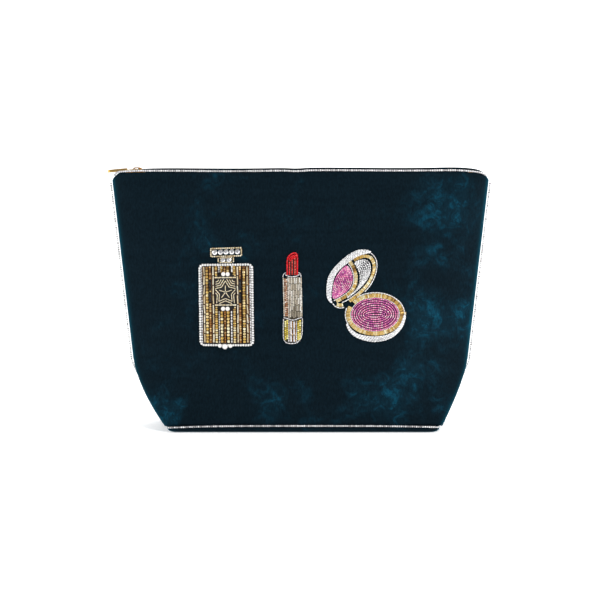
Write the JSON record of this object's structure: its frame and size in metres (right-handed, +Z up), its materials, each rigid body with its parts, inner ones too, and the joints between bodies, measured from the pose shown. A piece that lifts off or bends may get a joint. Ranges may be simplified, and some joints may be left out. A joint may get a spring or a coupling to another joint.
{
  "type": "makeup bag",
  "caption": "Boxed velvet makeup pouch with a zipped top, bead-trimmed seams, beaded cosmetics motifs on the front, satin lining and a metal slider with a long pull.",
  "frame": {"origin": "middle of the flat underside of the base", "axes": "+X along the width, slider end at -X; front with the motifs faces -Y; +Z up"},
  "size_m": [0.2688, 0.0678, 0.1823],
  "materials": {
    "velvet": "dark teal crushed velvet with a directional nap",
    "padding": "felted interlining, matt",
    "lining": "smooth woven satin lining",
    "zip_tape": "tight woven tape, matt",
    "zip_coil": "nylon coil",
    "gold_metal": "polished gold plate",
    "seed_bead_silver": "silver-lined glass seed beads",
    "bead_gold": "gold-lined glass beads",
    "bugle_silver": "silver bugle beads",
    "crystal": "faceted clear stones",
    "pearl": "pearl lustre",
    "label_black": "black satin backing",
    "bead_red": "red lined glass beads",
    "bead_yellow": "yellow and silver lined glass beads",
    "bead_pink": "pink lined glass beads"
  },
  "bodies": {
    "base": {"base_interlining": "padding", "base_lining": "lining", "base_panel": "velvet", "bottom_stop": "gold_metal", "coil_end_left": "zip_coil", "coil_end_right": "zip_coil", "tape_end_left": "zip_tape", "tape_end_right": "zip_tape", "top_stop": "gold_metal", "trim_base": "seed_bead_silver", "trim_side_left": "seed_bead_silver", "trim_side_right": "seed_bead_silver"},
    "front": {"panel_front": "velvet", "interlining_front": "padding", "lining_front": "lining", "tape_front": "zip_tape", "coil_front": "zip_coil", "trim_rim": "seed_bead_silver", "bottle_cap": "bead_gold", "bottle_cap_stones": "crystal", "bottle_columns": "bead_gold", "bottle_label": "label_black", "bottle_neck": "crystal", "bottle_outline": "seed_bead_silver", "bottle_pearls_lower": "pearl", "bottle_pearls_upper": "pearl", "bottle_star": "seed_bead_silver", "compact_base_rim": "seed_bead_silver", "compact_blush": "bead_pink", "compact_clasp": "bead_gold", "compact_inner_arc": "bead_gold", "compact_lid_band": "bead_gold", "compact_lid_rim": "seed_bead_silver", "compact_mirror": "seed_bead_silver", "compact_powder": "bead_pink", "compact_ring": "bead_gold", "lipstick_barrel": "bugle_silver", "lipstick_bullet": "bead_red", "lipstick_case": "bead_yellow", "lipstick_collar": "seed_bead_silver"},
    "back": {"panel_back": "velvet", "interlining_back": "padding", "lining_back": "lining", "tape_back": "zip_tape", "coil_back": "zip_coil"},
    "slider": {"slider_body": "gold_metal", "slider_crown": "gold_metal"},
    "pull": {"pull_tab": "gold_metal"}
  },
  "joints": [
    {"name": "mouth_front", "type": "hinge", "parent": "base", "child": "front", "pos_m": [0, -0.03255, 0.0051], "axis": [1, 0, 0], "range_deg": [0, 12]},
    {"name": "mouth_back", "type": "hinge", "parent": "base", "child": "back", "pos_m": [0, 0.03255, 0.0051], "axis": [-1, 0, 0], "range_deg": [0, 12]},
    {"name": "zip_slide", "type": "slide", "parent": "base", "child": "slider", "axis": [1, 0, 0], "range_m": [0, 0.224]},
    {"name": "pull_flip", "type": "hinge", "parent": "slider", "child": "pull", "pos_m": [-0.1149, 0, 0.1808], "axis": [0, 1, 0], "range_deg": [0, 180]}
  ],
  "couplings": [
    {"joint": "mouth_back", "follows": "mouth_front", "ratio": 1}
  ]
}
